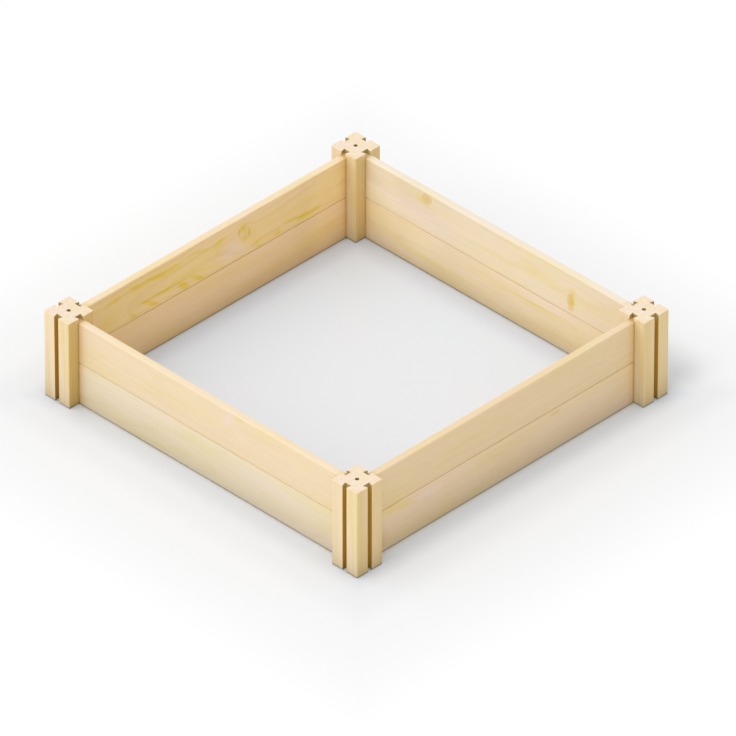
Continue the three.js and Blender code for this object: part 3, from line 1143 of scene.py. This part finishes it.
# %% Figure of the boards
OUTSIDE = -10 * MM
INSIDE = 10 * MM
SEEN_FACES = {"front": OUTSIDE, "right": OUTSIDE, "back": INSIDE, "left": INSIDE}
LOG_COLUMNS = ("base", "heart", "ring_width", "taper", "wander")
BOARD_LOGS = {
    "lower_front": ((244, 229, 197), (0, 95, 40), 3.8, 0.020, 16),
    "upper_front": ((242, 222, 183), (0, 110, 190), 4.1, -0.014, 14),
    "lower_right": ((242, 218, 179), (0, 90, 70), 3.6, 0.016, 15),
    "upper_right": ((237, 213, 168), (0, 105, 165), 4.0, 0.015, 13),
    "lower_back": ((242, 224, 188), (0, -90, 55), 4.2, 0.012, 15),
    "upper_back": ((241, 227, 198), (0, -105, 185), 3.9, -0.016, 13),
    # The left boards' colours are yellower, partly their own tone and partly the warm bounce inside
    # the bed painted in.
    "lower_left": ((240, 210, 165), (0, -95, 60), 3.9, 0.014, 14),
    "upper_left": ((240, 212, 151), (0, -85, 168), 6.4, 0.020, 24),
}
BOARD_KNOTS = {
    "lower_right": [(162, 103, 17, 6, 0, 0.55)],
    "upper_back": [(221, 207, 19, 14, -20, 0.85), (-239, 152, 11, 25, 5, 0.9)],
    "upper_left": [(-92, 178, 19, 26, -14, 0.26)],
}
BOARD_PATCHES = {
    "lower_front": {
        "flame": [(-95, 37, 34, 6, 8, 0.8, 0.22)],
        "pale": [(120, 85, 190, 26, 0, 0.8, 0.35)],
    },
    "upper_front": {
        "milky": [(62, 202, 16, 22, 0, 0.7, 0.55)],
        "flame": [(100, 218, 18, 5, 0, 0.6, 0.55)],
    },
    "lower_right": {
        "flame": [(-340, 100, 75, 17, -8, 1.0, 0.42), (-95, 18, 18, 10, 0, 0.8, 0.3)],
        # This brown spot beside the front post is painted shade.
        "brown_and_painted_shade": [(-404, 40, 34, 52, 0, 0.8, 0.3)],
        "pale": [(-258, 88, 70, 18, 0, 0.8, 0.6)],
    },
    "lower_back": {
        # Light spots at this end, in the back left corner, are painted light.
        "painted_corner_light": [(360, 90, 55, 60, 0, 0.4, 0.35), (340, 70, 190, 110, 0, 0.4, 0.95)],
        "pale": [(0, 102, 430, 14, 0, 0.6, 0.8)],
        "flame": [(-165, 84, 150, 5, 0, 0.9, 0.4), (185, 41, 220, 7, 0, 0.9, 0.3)],
    },
    "upper_back": {
        # Light spots at this end, in the back left corner, are painted light.
        "painted_corner_light": [(356, 165, 60, 90, 0, 0.4, 0.45), (360, 128, 180, 50, 0, 0.4, 0.7)],
        "flame": [
            (-110, 216, 190, 12, 0, 0.6, 0.24), (-130, 175, 90, 34, 0, 0.8, 0.14),
            (243, 206, 16, 11, 0, 0.8, 0.3), (-248, 156, 12, 26, 0, 0.5, 0.45),
        ],
        "pale": [(240, 160, 130, 38, 0, 0.7, 0.4)],
    },
    "lower_left": {
        "flame": [(-330, 60, 90, 45, 0, 0.8, 0.2)],
        # Light spots at this end, in the back left corner, are painted light.
        "painted_corner_light": [(-365, 70, 80, 90, 0, 0.4, 0.9)],
    },
    "upper_left": {
        "flame": [
            (325, 197, 32, 9, 0, 0.8, 0.59), (255, 200, 26, 9, 15, 0.7, 0.86),
            (188, 196, 46, 10, 8, 0.8, 1.0), (135, 194, 26, 9, 10, 0.8, 0.66),
            (52, 197, 50, 6, 12, 0.8, 0.66), (-8, 190, 26, 12, -20, 0.6, 0.86),
            (150, 147, 110, 5, 0, 0.9, 0.99), (105, 156, 74, 4, -2, 1.0, 0.83),
            (268, 128, 20, 8, 40, 0.6, 0.79), (210, 134, 42, 8, 32, 0.6, 1.0),
            (104, 129, 26, 11, 38, 0.6, 1.0), (58, 129, 38, 7, 30, 0.6, 1.0),
            (-128, 130, 30, 10, 45, 0.7, 0.66), (-197, 130, 12, 12, 20, 0.6, 0.66),
            (-284, 131, 30, 11, 0, 0.5, 1.0), (-318, 133, 26, 7, -6, 0.6, 0.73),
            (-245, 140, 40, 6, 8, 0.7, 0.66), (345, 148, 60, 30, 0, 0.9, 0.44),
            (200, 178, 210, 56, 0, 0.9, 0.11), (-86, 183, 13, 4, 10, 0.8, 0.99),
            (-91, 173, 12, 4, 0, 0.8, 0.99), (-128, 152, 36, 17, 48, 1.0, 0.3),
            (190, 198, 130, 15, 3, 0.9, 0.26), (-175, 130, 62, 18, 8, 0.9, 0.24),
        ],
        "brown_and_painted_shade": [
            (150, 147, 100, 3, 0, 0.9, 0.3), (-74, 182, 5, 5, -20, 0.5, 0.6),
            (-106, 176, 4, 6, -12, 0.5, 0.55),
        ],
        "pink": [(180, 174, 44, 14, 0, 0.7, 0.8), (140, 126, 90, 8, 0, 0.7, 0.6)],
        "milky": [(-48, 152, 52, 38, 0, 0.7, 1.0), (-106, 130, 36, 16, 0, 0.6, 0.6)],
        "pale": [(-150, 212, 290, 15, 0, 0.6, 0.85), (-230, 175, 230, 60, 0, 0.6, 0.6)],
        # Light spots at this end, in the back left corner, are painted light.
        "painted_corner_light": [(-362, 155, 80, 90, 0, 0.4, 0.65)],
    },
}
# The top tint is painted light on the faces that look up; the lively board's is stronger.
PLAIN_BOARD = {"late": 0.13, "bands": 0.12, "painted_top_light_tint": PAINTED_TOP_LIGHT_TINT}
LIVELY_BOARD = {"late": 0.32, "painted_top_light_tint": (1.03, 1.13, 1.55, 1)}

# %% [markdown]
# The lower boards stand in the same body as the posts. Each upper board rides on its own body,
# because it can be lifted straight up, out of the grooves.

# %% Boards in their places
HEIGHTS = {
    "lower": (lower_low.z, lower_high.z, True),
    "upper": (upper_low.z, upper_high.z, False),
}

for quarter, (side, seen_face) in enumerate(SEEN_FACES.items()):
    turn = quarter * math.pi / 2
    onto_side = Matrix.Rotation(turn, 4, "Z") @ Matrix.Translation((0, -SIDE_DISTANCE, 0))
    stand = onto_side.translation
    for tier, (bottom, top, has_tongue) in HEIGHTS.items():
        seed = 10 * quarter + bottom * 50  # so each board is planed another way
        bm = make_board(bottom, top, has_tongue)
        widest = round_edges(bm, board_edge_radius(top, has_tongue))
        plane_by_hand(bm, top, has_tongue, seed)
        bmesh.ops.transform(bm, verts=bm.verts, matrix=onto_side)
        name = f"{tier}_{side}"
        look = {**PLAIN_BOARD, **dict(zip(LOG_COLUMNS, BOARD_LOGS[name]))}
        look["base"] = seen_colour(*look["base"])
        look["knots"] = BOARD_KNOTS.get(name, [])
        look["patches"] = BOARD_PATCHES.get(name, {})
        look["patch_face"] = seen_face
        if name == "upper_left":
            look.update(LIVELY_BOARD)
        half_height = ((SEAM if has_tongue else top) - bottom) / 2
        wood = pine(
            f"pine_{name}", (0, 0, turn), stand, look,
            middle=(0, 0, bottom + half_height), half_size=(BOARD_REACH, BOARD_HALF, half_height),
        )
        finish_piece(
            f"{side}_{tier}_board", bm, widest,
            "frame" if tier == "lower" else f"upper_board_{side}",
            f"{tier}_board_{side}", wood,
        )
